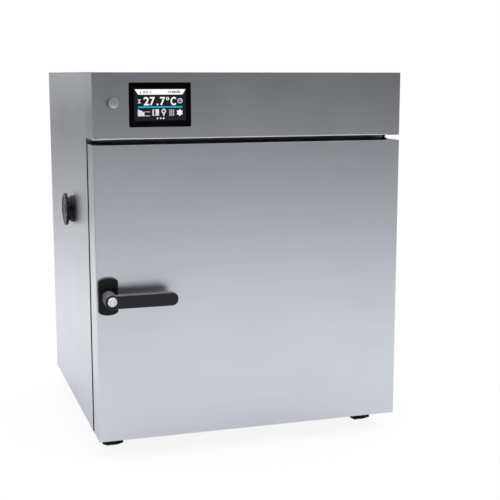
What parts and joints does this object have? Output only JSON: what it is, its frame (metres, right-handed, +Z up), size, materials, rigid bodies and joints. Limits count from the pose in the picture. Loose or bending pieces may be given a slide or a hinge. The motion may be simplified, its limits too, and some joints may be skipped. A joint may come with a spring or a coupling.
{
  "type": "laboratory incubator",
  "caption": "Bench-top stainless steel laboratory incubator with an insulated chamber, a hinged lockable door, wire shelves, a touch display and a plugged access port.",
  "frame": {"origin": "on the floor under the middle of the overall box, handle, port plug and rear fittings included", "axes": "+X to the right seen from the door, +Y from the door to the back, +Z up"},
  "size_m": [0.6082, 0.6178, 0.7075],
  "materials": {
    "cabinet_steel": "fine horizontal grain, satin",
    "chamber_steel": "smooth, bright",
    "zinc_steel": "zinc plated",
    "black_plastic": "fine texture",
    "foot_rubber": "matt",
    "silicone": "matt",
    "foam": "mineral wool",
    "screen": "gloss",
    "circuit_board": "lacquered",
    "chrome": "polished"
  },
  "bodies": {
    "cabinet": {"side_panel_left": "cabinet_steel", "side_panel_right": "cabinet_steel", "top_panel": "cabinet_steel", "bottom_pan": "zinc_steel", "rear_panel": "zinc_steel", "front_frame": "cabinet_steel", "compartment_floor": "zinc_steel", "rear_bulkhead": "zinc_steel", "foot_front_left": "foot_rubber", "foot_front_right": "foot_rubber", "foot_rear_left": "foot_rubber", "foot_rear_right": "foot_rubber", "insulation_left": "foam", "insulation_right": "foam", "insulation_bottom": "foam", "insulation_top": "foam", "insulation_rear": "foam", "chamber_liner": "chamber_steel", "air_baffle": "chamber_steel", "rack_left": "chamber_steel", "rack_right": "chamber_steel", "fan_motor": "zinc_steel", "heater_element": "zinc_steel", "temperature_probe": "chrome", "safety_probe": "chrome", "fascia_panel": "cabinet_steel", "display_bezel": "black_plastic", "display_module": "screen", "controller_board": "circuit_board", "button_housing": "chrome", "power_supply": "zinc_steel", "port_sleeve": "black_plastic", "hinge_bracket_top": "zinc_steel", "hinge_bracket_bottom": "zinc_steel", "striker_plate": "zinc_steel", "mains_inlet": "black_plastic", "fuse_holder": "black_plastic", "blank_plate": "chrome"},
    "door": {"door_skin": "cabinet_steel", "door_inner_panel": "chamber_steel", "door_gasket": "silicone", "door_insulation": "foam", "latch_case": "zinc_steel", "hinge_bush_top": "black_plastic", "hinge_bush_bottom": "black_plastic", "handle_rosette": "black_plastic"},
    "lever": {"lever_handle": "black_plastic", "latch_spindle": "zinc_steel", "latch_pawl": "zinc_steel"},
    "lock": {"lock_cylinder": "chrome"},
    "button": {"power_button": "chrome"},
    "plug": {"port_plug": "black_plastic"},
    "upper_shelf": {"shelf_upper": "chamber_steel"},
    "lower_shelf": {"shelf_lower": "chamber_steel"},
    "fan": {"fan_wheel": "chamber_steel"}
  },
  "joints": [
    {"name": "door_hinge", "type": "hinge", "parent": "cabinet", "child": "door", "pos_m": [0.28615, -0.2311, 0.308], "axis": [0, 0, 1], "range_deg": [0, 130]},
    {"name": "lever_turn", "type": "hinge", "parent": "door", "child": "lever", "pos_m": [-0.26485, -0.2901, 0.30695], "axis": [0, 1, 0], "range_deg": [0, 90]},
    {"name": "lock_turn", "type": "hinge", "parent": "lever", "child": "lock", "pos_m": [-0.26485, -0.2981, 0.30695], "axis": [0, 1, 0], "range_deg": [0, 90]},
    {"name": "power_button_press", "type": "slide", "parent": "cabinet", "child": "button", "axis": [0, 1, 0], "range_m": [0, 0.0025], "stiffness_N_per_m": 400},
    {"name": "port_plug_pull", "type": "slide", "parent": "cabinet", "child": "plug", "axis": [-1, 0, 0], "range_m": [0, 0.08]},
    {"name": "upper_shelf_slide", "type": "slide", "parent": "cabinet", "child": "upper_shelf", "axis": [0, -1, 0], "range_m": [0, 0.028]},
    {"name": "lower_shelf_slide", "type": "slide", "parent": "cabinet", "child": "lower_shelf", "axis": [0, -1, 0], "range_m": [0, 0.028]},
    {"name": "fan_spin", "type": "hinge", "parent": "cabinet", "child": "fan", "pos_m": [0.00915, 0.2, 0.30795], "axis": [0, 1, 0], "continuous": true}
  ]
}
